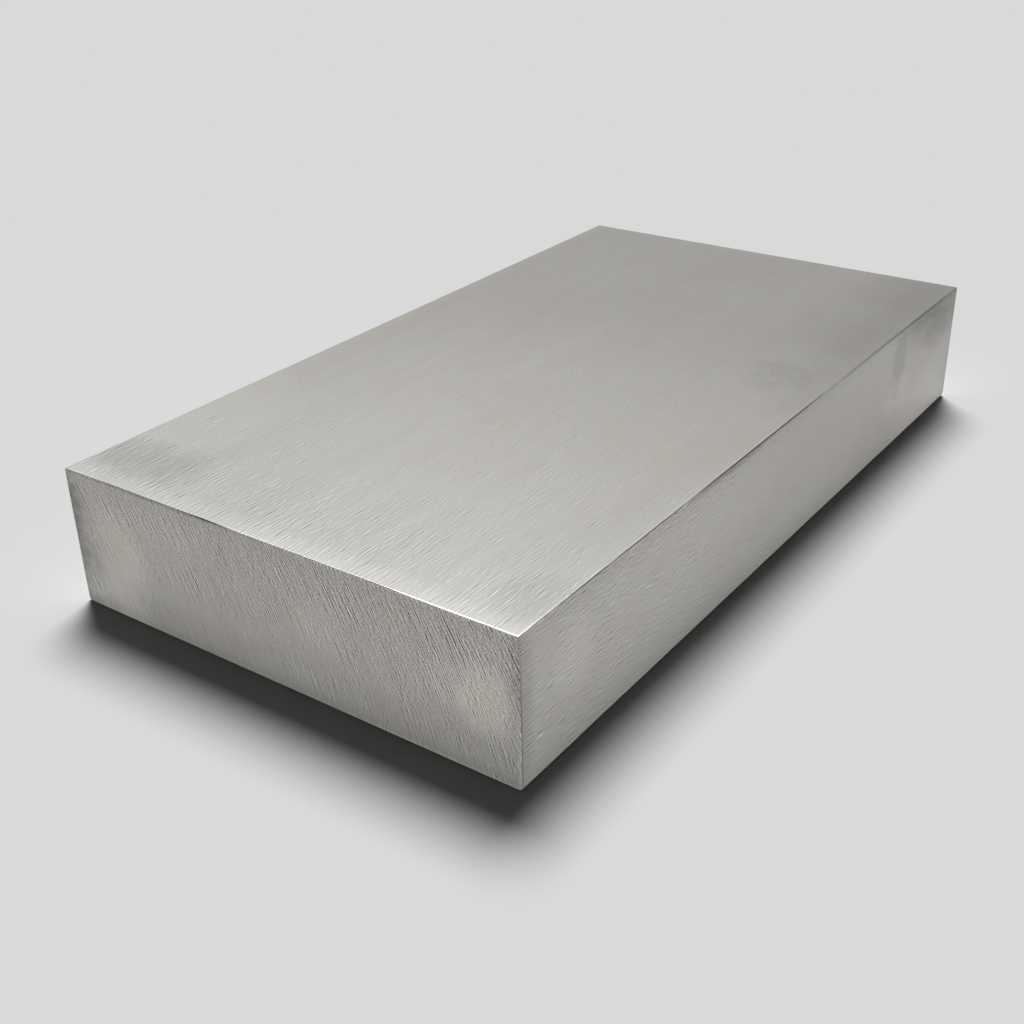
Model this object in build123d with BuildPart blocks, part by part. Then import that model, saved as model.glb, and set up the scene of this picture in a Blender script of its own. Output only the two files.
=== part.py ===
"""A sawn length of thick aluminium plate, one solid piece of stock lying on its wide face.

X runs across the width, Y along the length from one sawn end to the other, and Z up through the
thickness. The origin is the middle of the underside. All sizes are in millimetres.
"""

from build123d import *

import os

# Section of the stock
width = 90.0
thickness = 25.0
upper_corner_radius = 0.4
lower_corner_radius = 0.8

# Sawing to length
cut_length = 162.0
end_break = 0.25


def make_plate():
    """The stock's section, run out to the cut length, with both sawn ends deburred all round."""
    with BuildPart() as plate:
        with BuildSketch(Plane.XZ.offset(-cut_length / 2)) as section:
            Rectangle(width, thickness, align=(Align.CENTER, Align.MIN))
            fillet(section.vertices().group_by(Axis.Y)[0], lower_corner_radius)
            fillet(section.vertices().sort_by(Axis.Y)[-2:], upper_corner_radius)
        extrude(amount=cut_length)

        # The rim of a sawn end is one tangent loop of straights and corner arcs.
        ends = plate.faces().filter_by(Axis.Y)
        fillet(ends.edges(), end_break)
    return plate


plate = make_plate()
plate.part.label = "plate"

os.makedirs("parts", exist_ok=True)
export_step(plate.part, "parts/plate.step")
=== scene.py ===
"""The sawn plate as it looks: brushed faces, saw marks across both ends and worn edges.

The plate is one closed mesh that stands for its plain solid and stays inside it. Its edges are
rounded and worn, and its two ends carry the relief that the saw left. The wide faces, the long
sides and the sawn ends each have a material of their own. Lengths are in millimetres, and turn
into metres where they reach an object.
"""

import math

import bpy
import numpy as np
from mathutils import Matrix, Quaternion, Vector, noise


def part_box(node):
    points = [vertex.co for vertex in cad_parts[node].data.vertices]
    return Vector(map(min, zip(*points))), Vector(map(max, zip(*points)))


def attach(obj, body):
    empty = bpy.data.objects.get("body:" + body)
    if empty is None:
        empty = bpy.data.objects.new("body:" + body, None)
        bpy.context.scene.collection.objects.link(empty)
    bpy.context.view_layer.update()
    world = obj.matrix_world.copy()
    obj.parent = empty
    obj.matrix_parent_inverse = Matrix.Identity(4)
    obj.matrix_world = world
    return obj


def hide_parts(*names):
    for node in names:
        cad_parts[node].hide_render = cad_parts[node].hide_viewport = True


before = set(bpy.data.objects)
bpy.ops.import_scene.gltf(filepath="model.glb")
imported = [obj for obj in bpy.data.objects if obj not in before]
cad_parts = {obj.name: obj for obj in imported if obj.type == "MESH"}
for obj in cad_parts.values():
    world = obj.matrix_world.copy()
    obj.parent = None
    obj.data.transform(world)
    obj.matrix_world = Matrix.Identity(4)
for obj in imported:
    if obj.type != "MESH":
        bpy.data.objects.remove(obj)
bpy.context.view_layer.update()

MM = 0.001

# The plate, from its solid
plate_low, plate_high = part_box("plate")
half_width = plate_high.x / MM
half_length = plate_high.y / MM
thickness = (plate_high.z - plate_low.z) / MM
upper_radius = 0.4
lower_radius = 0.8
rim_radius = 0.25

# Lines of the mesh, closer together over the rounded edges
edge_steps = (0, 0.06, 0.14, rim_radius, upper_radius, 0.6, lower_radius)
lines_across = 420
lines_along = 24
lines_up = 60

# Worn edges: how much their radius wavers and over what length, and the nicks in the rims
waver = 0.15
edge_wave = 9
rim_wave = 5
nick_size = 1.1
nick_rarity = 0.35
nick_depth = 0.06

# Saw marks are arcs of the blade's rim, each a little further across the plate
blade_radius = 125
blade_height = -37
coarse_mark = 3.4
coarse_run = 60
coarse_depth = 0.03
fine_mark = 0.9
fine_run = 14
fine_depth = 0.02
fine_share_left = 0.1

# Colours, as reflectances of red, green and blue
warm_metal = (1, 0.956, 0.888)
cool_metal = (0.99, 1, 0.95)
pale = 0.694
dim = 0.05

# Scratches are the difference of a random field and its own shifted copy, kept in loose groups.
# In the colour they carry painted light on one side of each and painted shade on the other.
scratch_detail = 0.5
shade_shift = 0.9
faint_share = 0.2
group_size = (3, 8, 1)
group_weight = 0.6
group_start = -0.4
group_full = 1.2

# Patches: how ragged their rims are
shade_ragged = 0.1
worn_ragged = 0.3
stain_ragged = 0.4
stain_speckled = 0.2

# Edges: how far in their darkening, painted dark seams, painted highlights and dull wear reach
edge_darkening_reach = 3.5
edge_darkening_uneven = 0.4
painted_seam_reach = 0.5
painted_highlight_reach = 0.85
arris_reach = 0.2
dull_reach = 0.5
dull_full = 0.1
dull_edge = 0.15

# Brushed metal: its fields' sizes along x, y and z, and widths and lengths of its scratches
band_size = (2.6, 50, 2.6)
mottle_size = (2.2, 3.5, 2)
cloud_size = (16, 24, 11)
grain_size = (0.5, 0.8, 0.5)
stroke_width = 0.27
fleck_size = (0.25, 1.3)
brush_spread = 0.4

# Brushed metal: how thick and how strong its strokes and flecks are
cloud_worn = 0.3
stroke_crowding = 0.9
fleck_crowding = 0.5
fleck_rarity = 0.15
stroke_strength = 0.3
worked_stroke_strength = 0.8
fleck_strength = 0.6
mark_strength = 0.78
left_surplus = 0.3
left_start = 0.6 * half_width

# Brushed metal: how much each field counts in its brightness, its tint, its sheen and its relief
mark_contrast = 0.25
mottle_contrast = 0.006
worked_mottle_contrast = 0.007
grain_contrast = 0.012
band_contrast = 0.006
cloud_contrast = 0.015
brushed_cool = 0.25
brushed_cool_mottle = 0.3
brushed_cool_cloud = 0.2
left_chill = 0.6
chill_start = -0.2 * half_length
chill_full = -1.1 * half_length
mark_dulling = -0.01
band_dulling = 0.004
band_relief = 0.6
cloud_relief = 2
brush_height = 0.003

# Sawn metal: its fields' sizes, and widths and lengths of its tears
swathe_size = (2.6, 40, 1)
speck_size = (0.26, 1, 0.3)
sawn_mottle_size = (1.6, 1, 1.8)
sawn_cloud_size = (8, 1, 6)
short_tear = (0.24, 1.2)
long_tear = (0.25, 8)

# Sawn metal: the tears thicken upwards and a little to the right
tear_rise_x = 0.4
tear_rise_z = 3
tear_rise_cloud = 20
tear_start = -10
tear_full = 90
long_strength = 1.1
speck_strength = 0.2
torn_speck_strength = 0.8

# Sawn metal: how much each field counts, and how its foot cools and takes painted shade
tear_contrast = 0.245
sawn_mottle_contrast = 0.014
swathe_contrast = 0.022
sawn_cloud_contrast = 0.03
foot_height = 9
foot_below = -2
foot_shade = 0.14
sole_height = 3
sole_shade = 0.1
sawn_cool = 0.08
sawn_cool_mottle = 0.4
sawn_cool_cloud = 0.3
cool_foot_height = 14
cool_foot = 0.25
tear_dulling = -0.03
tear_height = 0.016

# Camera
camera_place = (129.35, -197.80, 119.88)
camera_aim = (-3.11, -15.77, 0)
camera_roll = math.radians(-1.37)
camera_lens = 47.53

# Lamp, leaning to the left and the back, with the level of light that it lays on the floor
lamp_left = math.radians(17)
lamp_back = math.radians(25)
lamp_level = 0.95
lamp_spread = math.radians(26)

# Floor: how far it goes on, and how much of its light stays where the metal mirrors its shadow
floor_reach = 6000
floor_glow = 0.68

# Sides of the plate, and the reaches of a patch that goes through a face or lies along an edge
left, right = -half_width, half_width
front = -half_length
top = thickness
floor_level = 0
through = 9
beside = 2

# The finish of each kind of surface. Its level is its reflectance, and edge_tint what it keeps of
# that at a grazing angle. The brushing halves over each fade from the front end on, where it is as
# strong as worked says, and is stronger on the left where leftward is 1. Strokes have a length,
# lit is how much lighter than the metal the marks are, and relief how high they stand. Chill is how
# cool the front looks, and the edge darkening how much darker the edges are, lighter where it is
# negative. The rest are places with a centre, a reach along x, y and z, and a strength: worn places
# where the marks crowd, stains, smooth patches of painted light and shade, dark seams of painted
# shade and reflection along the arrises, and painted highlights beside them.
brushed_face = {
    "level": 0.515,
    "roughness": 0.25,
    "edge_tint": 0.65,
    "fade": 21,
    "worked": 1,
    "leftward": 1,
    "stroke": 4,
    "lit": 0.05,
    "relief": 0.5,
    "chill": 0.45,
    "edge_darkening": -0.04,
    "worn": (
        ((-2, front, top), (32, 22, through), 0.5),
        ((18, -28, top), (26, 40, through), 0.25),
    ),
    "stains": (
        ((34, 16, top), (9, 9, through), -0.09),
        ((-36, -71.5, top), (15, 7.5, through), -0.15),
    ),
    # Smooth patches of painted light and shade
    "painted_light_and_shade": (
        ((62, 62, top), (42, 80, through), -0.2),
        ((8, -22, top), (55, 55, through), 0.07),
        ((0, front, top), (90, 5.5, through), 0.1),
        ((left, front, top), (10, 6, through), 0.08),
        ((left, -54, top), (22, 25, through), 0.08),
        ((42, -72, top), (9, 9, through), -0.1),
    ),
    # Dark seams of painted shade and dark reflection along the arrises
    "painted_dark_seams": (
        ((right, -60, top), (beside, 26, beside), 0.9),
        ((right, -14, top), (beside, 36, beside), 0.9),
        ((right, 50, top), (beside, 45, beside), 0.45),
        ((-28, front, top), (24, beside, beside), 0.75),
        ((5, front, top), (22, beside, beside), 0.7),
        ((35, front, top), (22, beside, beside), 0.3),
    ),
    # Painted highlights along the arrises
    "painted_highlights": (
        ((-12, front, top), (42, beside, beside), 0.15),
        ((right, -66, top), (beside, 30, beside), 0.15),
        ((right, -20, top), (beside, 40, beside), 0.25),
    ),
}
brushed_side = {
    "level": 0.54,
    "roughness": 0.46,
    "edge_tint": 1,
    "fade": 60,
    "worked": 0.8,
    "leftward": 0,
    "stroke": 2.6,
    "lit": -0.1,
    "relief": 0.25,
    "chill": 0.05,
    "edge_darkening": 0.07,
    "worn": (
        ((right, -40, top), (through, 50, 5), 0.5),
        ((right, -45, 14), (through, 30, 12), 0.25),
    ),
    "stains": (
        ((right, 62, top), (through, 13, 3.5), -0.1),
        ((right, 71, 19), (through, 8, 6), -0.1),
        ((right, 50, 18), (through, 4.5, 8), -0.16),
        ((right, -24, 24.6), (through, 16, 0.8), -0.2),
    ),
    # Smooth patches of painted light and shade
    "painted_light_and_shade": (
        ((right, front, 14), (through, 4, 16), -0.14),
        ((right, 84, 26), (through, 42, 12), -0.34),
        ((right, 66, 3.5), (through, 18, 10), 0.13),
        ((right, 51, 11), (through, 9, 5), 0.1),
        ((right, -45, 18), (through, 50, 14), 0.07),
        ((right, -68, 15), (through, 7, 8), 0.09),
        ((right, -20, floor_level), (through, 90, 6), -0.08),
    ),
    # Dark seams of painted shade and dark reflection along the arrises
    "painted_dark_seams": (
        ((right, -14, top), (beside, 36, beside), 0.2),
        ((right, 50, top), (beside, 45, beside), 0.35),
        ((right, front, 8), (beside, beside, 12), 0.3),
        ((right, front, 19), (beside, beside, 8), 0.1),
    ),
    # Painted highlights along the lower edge
    "painted_highlights": (
        ((right, -50, floor_level), (beside, 34, beside), 0.25),
    ),
}
sawn_end = {
    "level": 0.53,
    "roughness": 0.48,
    "edge_tint": 1,
    "edge_darkening": 0.05,
    "stains": (
        ((left, front, 12), (6, through, 16), -0.16),
        ((-46, front, 12), (4.5, through, 17), -0.26),
        ((46, front, 20), (4, through, 9), -0.16),
        # This one is not a stain but a lighter patch on the end
        ((39, front, 13), (6, through, 8), 0.22),
    ),
    # Smooth patches of painted light and shade
    "painted_light_and_shade": (
        ((-35, front, floor_level), (9, through, 7), 0.2),
        ((-34, front, 11), (8, through, 12), 0.12),
        ((20, front, 14), (30, through, 9), 0.04),
        ((-40, front, 11), (4, through, 5), -0.08),
        ((9, front, 14), (6, through, 5), 0.08),
        ((33, front, 13), (5, through, 5), 0.1),
    ),
    # Dark seams of painted shade and dark reflection along the arrises
    "painted_dark_seams": (
        ((-25, front, top), (30, beside, beside), 0.25),
        ((right, front, 19), (beside, beside, 8), 0.1),
    ),
    # Painted highlights along the arrises and the lower edge
    "painted_highlights": (
        ((32, front, top), (30, beside, beside), 0.06),
        ((right, front, 5), (beside, beside, 9), 0.2),
        ((30, front, floor_level), (20, 3, beside), 0.2),
    ),
}


# Shader sums

class Field:
    """A number that varies over a surface or from ray to ray, so that shader sums read as sums."""

    def __init__(self, socket):
        self.socket = socket

    def __add__(self, other):
        return sum_node("ADD", self, other)

    def __sub__(self, other):
        return sum_node("SUBTRACT", self, other)

    def __rsub__(self, other):
        return sum_node("SUBTRACT", other, self)

    def __mul__(self, other):
        return sum_node("MULTIPLY", self, other)

    def __truediv__(self, other):
        return sum_node("DIVIDE", self, other)

    def __rpow__(self, other):
        return sum_node("POWER", other, self)

    def __abs__(self):
        return sum_node("ABSOLUTE", self)


def feed(socket, value):
    """Gives an input a constant, or joins it to a field."""
    if isinstance(value, Field):
        socket.id_data.links.new(value.socket, socket)
    else:
        socket.default_value = value


def sum_node(operation, *values):
    """One step of a shader sum."""
    tree = next(value.socket.id_data for value in values if isinstance(value, Field))
    node = tree.nodes.new("ShaderNodeMath")
    node.operation = operation
    for socket, value in zip(node.inputs, values):
        feed(socket, value)
    return Field(node.outputs[0])


def smallest(first, second):
    return sum_node("MINIMUM", first, second)


def largest(first, second):
    return sum_node("MAXIMUM", first, second)


def square_root(value):
    return sum_node("SQRT", value)


def ramp(value, start, end):
    """Rises smoothly from 0 where the value is at its start to 1 at its end."""
    node = value.socket.id_data.nodes.new("ShaderNodeMapRange")
    node.interpolation_type = "SMOOTHSTEP"
    feed(node.inputs["Value"], value)
    feed(node.inputs["From Min"], start)
    feed(node.inputs["From Max"], end)
    return Field(node.outputs["Result"])


def random_field(point, size, detail=1.5):
    """A soft random number from about -1 to 1, with features of the given size along each axis."""
    tree = point[0].socket.id_data
    place = tree.nodes.new("ShaderNodeCombineXYZ")
    for socket, value, length in zip(place.inputs, point, size):
        feed(socket, value / length)
    node = tree.nodes.new("ShaderNodeTexNoise")
    feed(node.inputs["Vector"], Field(place.outputs["Vector"]))
    feed(node.inputs["Scale"], 1)
    feed(node.inputs["Detail"], detail)
    # The noise stays near the middle of 0 to 1
    return Field(node.outputs["Fac"]) * 4 - 2


def place_on_plate(tree):
    """The fields x, y and z of a surface point, in millimetres."""
    place = tree.nodes.new("ShaderNodeTexCoord")
    parts = tree.nodes.new("ShaderNodeSeparateXYZ")
    feed(parts.inputs["Vector"], Field(place.outputs["Object"]))
    return [Field(part) * (1 / MM) for part in parts.outputs]


def edge_distance(x, y, z):
    """How far a surface point lies from the nearest edge: the middle one of its ways in."""
    inward_x = half_width - abs(x)
    inward_y = half_length - abs(y)
    inward_z = thickness / 2 - abs(z - thickness / 2)
    least = smallest(inward_x, inward_y)
    most = largest(inward_x, inward_y)
    return largest(least, smallest(most, inward_z))


def tinted(tree, level, cool):
    """The metal's colour at a level of brightness, between its warm and its cool tint."""
    tint = tree.nodes.new("ShaderNodeMix")
    tint.data_type = "RGBA"
    feed(tint.inputs["Factor"], cool)
    feed(tint.inputs["A"], (*warm_metal, 1))
    feed(tint.inputs["B"], (*cool_metal, 1))
    scaled = tree.nodes.new("ShaderNodeVectorMath")
    scaled.operation = "SCALE"
    feed(scaled.inputs[0], Field(tint.outputs["Result"]))
    feed(scaled.inputs["Scale"], level)
    return Field(scaled.outputs["Vector"])


def raised(tree, height, unit):
    """A normal for a surface whose relief has the given height, in units of so many millimetres."""
    bump = tree.nodes.new("ShaderNodeBump")
    feed(bump.inputs["Distance"], unit * MM)
    feed(bump.inputs["Height"], height)
    return Field(bump.outputs["Normal"])


# Finishes

def new_metal(name, finish):
    """A bare metal material and its shader."""
    material = bpy.data.materials.new(name)
    material.use_nodes = True
    metal = material.node_tree.nodes["Principled BSDF"]
    edge_tint = finish["edge_tint"]
    feed(metal.inputs["Metallic"], 1)
    feed(metal.inputs["Specular Tint"], (edge_tint, edge_tint, edge_tint, 1))
    return material, material.node_tree, metal


def patches(point, places, ragged):
    """The sum of soft oval patches with ragged rims, each as strong as its place says."""
    total = 0
    for centre, reaches, strength in places:
        squares = ragged
        for field, middle, reach in zip(point, centre, reaches):
            step = (field - middle) / reach
            squares = squares + step * step
        total = ramp(squares, 1, 0) * strength + total
    return total


def painted_shading_and_stains(point, finish, cloud, mottle):
    """Smooth patches of painted light and shade, and ragged stains, as changes of brightness."""
    painted_light_and_shade = patches(point, finish["painted_light_and_shade"], cloud * shade_ragged)
    stains = patches(point, finish["stains"], cloud * stain_ragged + mottle * stain_speckled)
    return painted_light_and_shade + stains


def edge_tone_and_painted_light(point, finish, cloud):
    """A factor on the brightness: lower towards the edges (higher on the wide faces), with dark
    seams of painted shade and reflection on the arrises and painted highlights beside them.
    """
    distance = edge_distance(*point)
    ragged = cloud * worn_ragged
    painted_seam_shade = patches(point, finish["painted_dark_seams"], ragged) * ramp(distance, painted_seam_reach, arris_reach)
    painted_highlight = patches(point, finish["painted_highlights"], ragged) * ramp(distance, painted_highlight_reach, arris_reach)
    edge_darkened = ramp(distance, edge_darkening_reach, 0) * (cloud * edge_darkening_uneven + 1) * finish["edge_darkening"]
    return (painted_highlight - edge_darkened + 1) * (1 - painted_seam_shade)


def scratches(across, along, size, density, layer):
    """Fine parallel scratches in loose groups, with painted light on one side of each
    and painted shade on the other.

    A size is a width and a length. Each layer has scratches of its own.
    """
    width, length = size
    scale = (width, length, 1)
    lit = random_field((across, along, layer), scale, scratch_detail)
    shaded = random_field((across + width * shade_shift, along, layer), scale, scratch_detail)
    lines = lit - shaded
    groups = random_field((across, along, layer), group_size, detail=1)
    crowding = ramp(groups * group_weight + density, group_start, group_full)
    return lines * (abs(lines) + faint_share) * crowding


def brush_marks(point, finish, worked, leftward, cloud):
    """Strokes and short flecks along the stock, the strongest where the metal was worked most."""
    x, y, z = point
    worn = patches(point, finish["worn"], cloud * worn_ragged) + cloud * cloud_worn
    stroke_size = (stroke_width, finish["stroke"])
    stroke_density = worked * (leftward * left_surplus + stroke_crowding) + worn
    fleck_density = worked * fleck_crowding + worn - fleck_rarity
    strokes = scratches(x + z, y, stroke_size, stroke_density, layer=0)
    flecks = scratches(x + z, y, fleck_size, fleck_density, layer=9)
    strokes = strokes * (worked * worked_stroke_strength + stroke_strength)
    marks = (strokes + flecks * fleck_strength) * (leftward * left_surplus + mark_strength)
    return marks + abs(marks) * finish["lit"]


def grain_direction(tree, grain_map):
    """The way across the brushing, from the mesh's map of it."""
    across = tree.nodes.new("ShaderNodeTangent")
    across.direction_type = "UV_MAP"
    across.uv_map = grain_map
    return Field(across.outputs["Tangent"])


def brushed_metal(name, finish, grain_map):
    """Brushed along the stock, the most near the front end, with stains and painted light and shade.

    Its edges are dulled and darkened, lightened on the wide faces, with painted dark seams and
    painted highlights.
    """
    material, tree, metal = new_metal(name, finish)
    point = place_on_plate(tree)
    x, y, _ = point
    bands = random_field(point, band_size)
    mottle = random_field(point, mottle_size, detail=2)
    cloud = random_field(point, cloud_size, detail=3)
    grain = random_field(point, grain_size, detail=1)
    worked = 0.5 ** ((y + half_length) / finish["fade"]) * finish["worked"]
    leftward = ramp(x, left_start, left) * finish["leftward"]

    marks = brush_marks(point, finish, worked, leftward, cloud)
    uneven = mottle * (worked * worked_mottle_contrast + mottle_contrast)
    uneven = uneven + grain * grain_contrast + bands * band_contrast + cloud * cloud_contrast
    # Patches of painted light and shade, with the stains
    painted_light_and_shade = painted_shading_and_stains(point, finish, cloud, mottle)
    # The marks' lit and dark sides are painted light and shade
    brightness = (marks * mark_contrast + uneven + painted_light_and_shade + 1) * finish["level"]
    # Edges darker on the sides and lighter on the wide faces, with painted dark seams and painted
    # highlights
    brightness = brightness * edge_tone_and_painted_light(point, finish, cloud)
    cool = ramp(y, chill_start, chill_full) * (leftward * left_chill + finish["chill"])
    cool = cool + mottle * brushed_cool_mottle + cloud * brushed_cool_cloud + brushed_cool
    dulled = ramp(edge_distance(*point), dull_reach, dull_full) * dull_edge
    relief = marks * finish["relief"] + bands * band_relief + cloud * cloud_relief

    feed(metal.inputs["Base Color"], tinted(tree, brightness, cool))
    roughness = marks * mark_dulling + bands * band_dulling + dulled + finish["roughness"]
    feed(metal.inputs["Roughness"], roughness)
    feed(metal.inputs["Normal"], raised(tree, relief, brush_height))
    feed(metal.inputs["Anisotropic"], brush_spread)
    feed(metal.inputs["Tangent"], grain_direction(tree, grain_map))
    return material


def saw_tears(point, across, cloud):
    """Short and long tears along the arcs of the blade's rim, with specks between them."""
    x, _, z = point
    rise = x * tear_rise_x + z * tear_rise_z + cloud * tear_rise_cloud
    torn = ramp(rise, tear_start, tear_full)
    short = scratches(across, z, short_tear, torn, layer=0)
    long = scratches(across, z, long_tear, torn, layer=9)
    specks = random_field(point, speck_size, detail=0)
    specks = specks * (torn * torn_speck_strength + speck_strength)
    return short + long * long_strength + specks


def sawn_metal(name, finish):
    """Sawn across: torn along the arcs of the blade's rim, with stains and painted light and shade.

    It darkens with painted shade towards the floor, and its edges are darker, with painted dark
    seams and painted highlights.
    """
    material, tree, metal = new_metal(name, finish)
    point = place_on_plate(tree)
    x, y, z = point
    height = z - blade_height
    across = x - square_root(blade_radius ** 2 - height * height)
    swathes = random_field((across, z, y), swathe_size, detail=1)
    mottle = random_field(point, sawn_mottle_size, detail=2)
    cloud = random_field(point, sawn_cloud_size, detail=3)

    tears = saw_tears(point, across, cloud)
    uneven = mottle * sawn_mottle_contrast + swathes * swathe_contrast + cloud * sawn_cloud_contrast
    # Painted shade: the end darker towards the floor, whose shadow it mirrors
    painted_floor_shade = ramp(z, foot_height, foot_below) * foot_shade + ramp(z, sole_height, 0) * sole_shade
    # Patches of painted light and shade, with the stains, less the painted shade towards the floor
    painted_light_and_shade = painted_shading_and_stains(point, finish, cloud, mottle) - painted_floor_shade
    # The tears' lit and dark sides are painted light and shade
    brightness = (tears * tear_contrast + uneven + painted_light_and_shade + 1) * finish["level"]
    # Edges darker, with painted dark seams and painted highlights on the arrises
    brightness = brightness * edge_tone_and_painted_light(point, finish, cloud)
    cool = mottle * sawn_cool_mottle + cloud * sawn_cool_cloud
    cool = cool + ramp(z, cool_foot_height, 0) * cool_foot + sawn_cool

    feed(metal.inputs["Base Color"], tinted(tree, brightness, cool))
    feed(metal.inputs["Roughness"], tears * tear_dulling + finish["roughness"])
    feed(metal.inputs["Normal"], raised(tree, tears, tear_height))
    return material


# The dressed mesh

def line_places(low, high, count):
    """Places of the mesh lines from low to high, with count even steps between the edge steps."""
    steps = np.array(edge_steps)
    middle = np.linspace(low + steps[-1], high - steps[-1], count + 1)
    return np.concatenate([low + steps[:-1], middle, high - steps[-2::-1]])


def box_shell(xs, ys, zs):
    """The outside of a box as points and six sheets of quads, with lines at the given places."""
    shape = (len(xs), len(ys), len(zs))
    outside = np.ones(shape, bool)
    outside[1:-1, 1:-1, 1:-1] = False
    number = np.zeros(shape, int)
    number[outside] = np.arange(outside.sum())
    points = np.stack(np.meshgrid(xs, ys, zs, indexing="ij"), axis=-1)[outside]
    sheets = []
    for axis in range(3):
        for side in (0, -1):
            sheet = np.take(number, side, axis=axis)
            corners = [sheet[:-1, :-1], sheet[1:, :-1], sheet[1:, 1:], sheet[:-1, 1:]]
            turned_in = (side == 0) != (axis == 1)
            if turned_in:
                corners.reverse()
            sheets.append(np.stack(corners, axis=-1).reshape(-1, 4))
    return points, sheets


def random_at(points, size, seed):
    """A soft random number from about -1 to 1 at each point, with features of the given size."""
    shift = Vector((seed, seed, seed))
    return np.array([noise.noise(Vector(point) + shift) for point in points / size])


def round_off(first, second):
    """Turns two distances past the centre of an edge's arc from a square corner to a round one."""
    far = np.maximum(first, second)
    turn = far / np.hypot(first, second)
    return first * turn, second * turn


def round_long_edges(points):
    """Rounds the four long edges, and gives the way out of the section at each point."""
    x, y, z = points.T
    middle = thickness / 2
    lower = z < middle
    corner = np.stack([np.sign(x) * half_width, y, np.where(lower, 0, thickness)], axis=-1)
    radius = np.where(lower, lower_radius, upper_radius)
    radius = radius * (1 + waver * random_at(corner, edge_wave, seed=3))
    past_x = abs(x) - half_width + radius
    past_z = abs(z - middle) - middle + radius
    near = (past_x > 0) & (past_z > 0)
    turned_x, turned_z = round_off(past_x[near], past_z[near])

    way = np.where((past_x > past_z)[:, None], [1, 0], [0, 1]).astype(float)
    way[near] = np.stack([turned_x, turned_z], axis=-1)
    way /= np.linalg.norm(way, axis=-1, keepdims=True)
    way *= np.sign(np.stack([x, z - middle], axis=-1))

    x[near] = np.sign(x[near]) * (half_width - radius[near] + turned_x)
    z[near] = middle + np.sign(z[near] - middle) * (middle - radius[near] + turned_z)
    return way


def round_rims(points, depth, way):
    """Rounds the rim of each sawn end, where depth is how far a point lies inside the section."""
    x, y, z = points.T
    radius = rim_radius * (1 + waver * random_at(points, rim_wave, seed=5))
    nicks = np.maximum(random_at(points, nick_size, seed=8) - nick_rarity, 0)
    radius += nicks * nick_depth
    past_side = radius - depth
    past_end = abs(y) - half_length + radius
    near = (past_side > 0) & (past_end > 0)
    turned_side, turned_end = round_off(past_side[near], past_end[near])
    inward = past_side[near] - turned_side
    x[near] -= way[near, 0] * inward
    z[near] -= way[near, 1] * inward
    y[near] = np.sign(y[near]) * (half_length - radius[near] + turned_end)


def saw_relief(points):
    """How deep the saw marks cut at each point of an end."""
    x, y, z = points.T
    across = x - np.sqrt(blade_radius ** 2 - (z - blade_height) ** 2)
    arc = np.stack([across, y, z], axis=-1)
    coarse = (1 + random_at(arc, (coarse_mark, 1, coarse_run), seed=1)) / 2
    fine = (1 + random_at(arc, (fine_mark, 1, fine_run), seed=2)) / 2
    fine_share = np.interp(x, (left, right), (fine_share_left, 1))
    return coarse_depth * coarse + fine_depth * fine_share * fine


def dressed_shell():
    """The plate's points and sheets of quads, with rounded edges, worn rims and sawn ends."""
    xs = line_places(-half_width, half_width, lines_across)
    ys = line_places(-half_length, half_length, lines_along)
    zs = line_places(0, thickness, lines_up)
    points, sheets = box_shell(xs, ys, zs)
    x, y, z = points.T
    on_end = abs(y) > half_length - rim_radius
    depth = np.minimum(half_width - abs(x), thickness / 2 - abs(z - thickness / 2))
    way = round_long_edges(points)
    round_rims(points, depth, way)
    y[on_end] -= np.sign(y[on_end]) * saw_relief(points[on_end])
    return points, sheets


def map_grain(mesh, points, quads):
    """Lays a flat map on the mesh, whose first direction runs across the brushing."""
    grain_map = mesh.uv_layers.new(name="across_the_grain")
    corners = points[quads.ravel()] * MM
    flat = np.stack([corners[:, 0] + corners[:, 2], corners[:, 1]], axis=-1)
    grain_map.uv.foreach_set("vector", flat.ravel())
    return grain_map.name


def dressed_plate():
    """The plate's mesh with its three finishes, one for each pair of opposite sheets."""
    points, sheets = dressed_shell()
    quads = np.concatenate(sheets)
    mesh = bpy.data.meshes.new("plate_body")
    mesh.from_pydata(points * MM, [], quads)
    mesh.shade_smooth()
    finish_of_sheet = [0, 0, 1, 1, 2, 2]
    finish_of_quad = np.repeat(finish_of_sheet, [len(sheet) for sheet in sheets])
    mesh.polygons.foreach_set("material_index", finish_of_quad)
    grain_map = map_grain(mesh, points, quads)
    mesh.materials.append(brushed_metal("brushed_side", brushed_side, grain_map))
    mesh.materials.append(sawn_metal("sawn_end", sawn_end))
    mesh.materials.append(brushed_metal("brushed_face", brushed_face, grain_map))
    return mesh


# Surroundings

def pale_to_eye(tree):
    """1 for a ray that shows the background, straight or mirrored, and 0 for one that lights."""
    ray = tree.nodes.new("ShaderNodeLightPath")
    straight = Field(ray.outputs["Is Camera Ray"])
    mirrored = Field(ray.outputs["Is Glossy Ray"])
    through_glass = Field(ray.outputs["Is Transmission Ray"])
    scattered = Field(ray.outputs["Diffuse Depth"])
    clear = 1 - smallest(scattered, 1)
    return largest(straight, largest(mirrored, through_glass)) * clear


def make_world():
    """Pale to the eye, and dim as a light."""
    world = bpy.data.worlds.new("surroundings")
    world.use_nodes = True
    tree = world.node_tree
    level = tree.nodes.new("ShaderNodeMix")
    level.data_type = "RGBA"
    feed(level.inputs["Factor"], pale_to_eye(tree))
    feed(level.inputs["A"], (dim, dim, dim, 1))
    feed(level.inputs["B"], (pale, pale, pale, 1))
    feed(tree.nodes["Background"].inputs["Color"], Field(level.outputs["Result"]))
    bpy.context.scene.world = world


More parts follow.
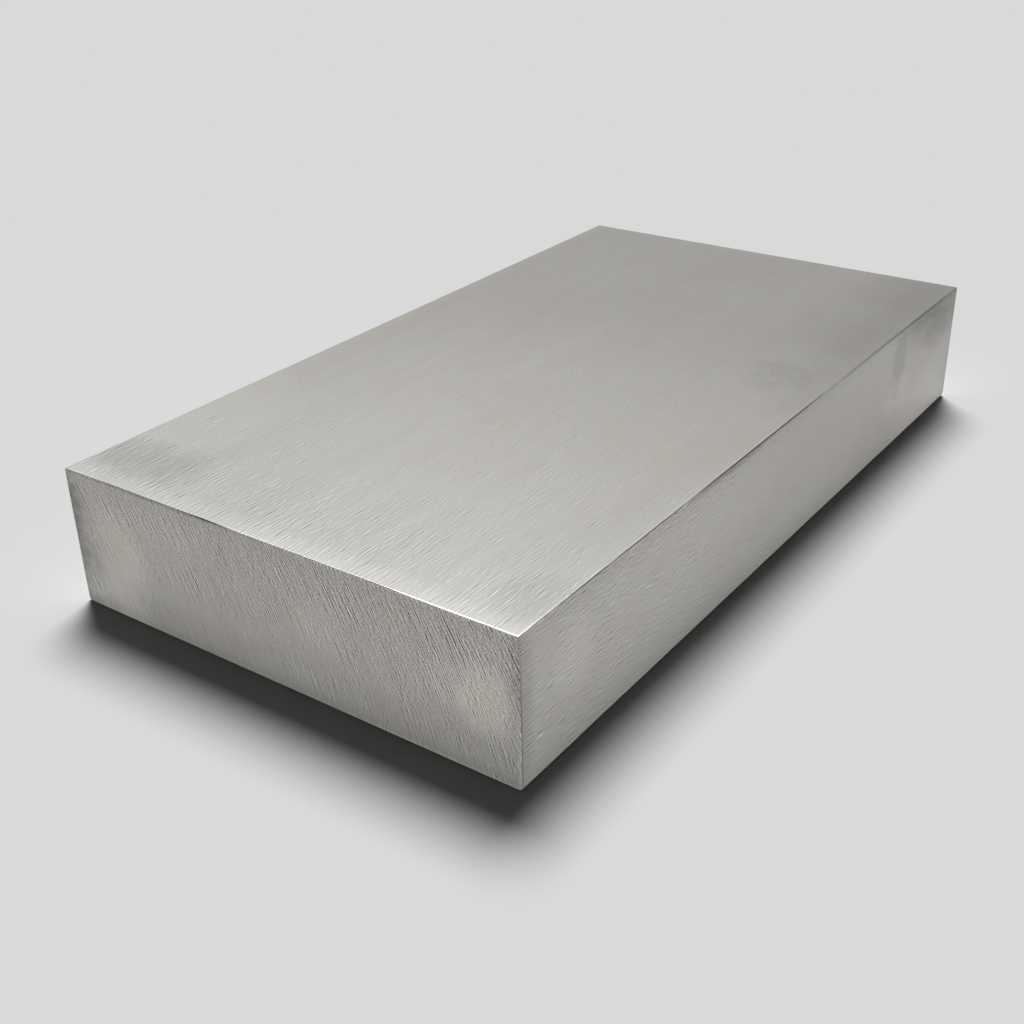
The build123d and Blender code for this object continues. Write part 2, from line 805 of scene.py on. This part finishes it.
def floor_material():
    """Plain and pale, with part of its light still there where the metal mirrors its shadow."""
    material = bpy.data.materials.new("floor")
    material.use_nodes = True
    tree = material.node_tree
    plain = tree.nodes["Principled BSDF"]
    feed(plain.inputs["Base Color"], (pale, pale, pale, 1))
    feed(plain.inputs["Roughness"], 1)
    feed(plain.inputs["Specular IOR Level"], 0)
    glow = tree.nodes.new("ShaderNodeEmission")
    feed(glow.inputs["Color"], (pale, pale, pale, 1))
    blend = tree.nodes.new("ShaderNodeMixShader")
    mirrored = Field(tree.nodes.new("ShaderNodeLightPath").outputs["Is Glossy Ray"])
    feed(blend.inputs["Fac"], mirrored * pale_to_eye(tree) * floor_glow)
    feed(blend.inputs[1], Field(plain.outputs["BSDF"]))
    feed(blend.inputs[2], Field(glow.outputs["Emission"]))
    feed(tree.nodes["Material Output"].inputs["Surface"], Field(blend.outputs["Shader"]))
    return material


def make_floor():
    """A flat square that reaches past what the camera sees."""
    reach = floor_reach * MM
    corners = [(-reach, -reach, 0), (reach, -reach, 0), (reach, reach, 0), (-reach, reach, 0)]
    mesh = bpy.data.meshes.new("floor")
    mesh.from_pydata(corners, [], [(0, 1, 2, 3)])
    mesh.materials.append(floor_material())
    floor = bpy.data.objects.new("floor", mesh)
    bpy.context.scene.collection.objects.link(floor)


def make_lamp():
    """One wide soft lamp, from behind and above on the left."""
    direction = Vector((-math.tan(lamp_left), math.tan(lamp_back), 1)).normalized()
    lamp = bpy.data.lights.new("lamp", "SUN")
    lamp.angle = lamp_spread
    lamp.energy = math.pi * lamp_level / direction.z
    sun = bpy.data.objects.new("lamp", lamp)
    sun.rotation_mode = "QUATERNION"
    sun.rotation_quaternion = direction.to_track_quat("Z", "Y")
    bpy.context.scene.collection.objects.link(sun)


def make_camera():
    """The camera as it stood in the photograph."""
    lens = bpy.data.cameras.new("camera")
    lens.lens = camera_lens
    camera = bpy.data.objects.new("camera", lens)
    camera.location = Vector(camera_place) * MM
    gaze = Vector(camera_aim) * MM - camera.location
    roll = Quaternion((0, 0, 1), camera_roll)
    camera.rotation_mode = "QUATERNION"
    camera.rotation_quaternion = gaze.to_track_quat("-Z", "Y") @ roll
    bpy.context.scene.collection.objects.link(camera)
    bpy.context.scene.camera = camera


plate = bpy.data.objects.new("plate_body", dressed_plate())
bpy.context.scene.collection.objects.link(plate)
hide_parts("plate")
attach(plate, "root")

make_world()
make_floor()
make_lamp()
make_camera()
bpy.context.scene.view_settings.view_transform = "Standard"
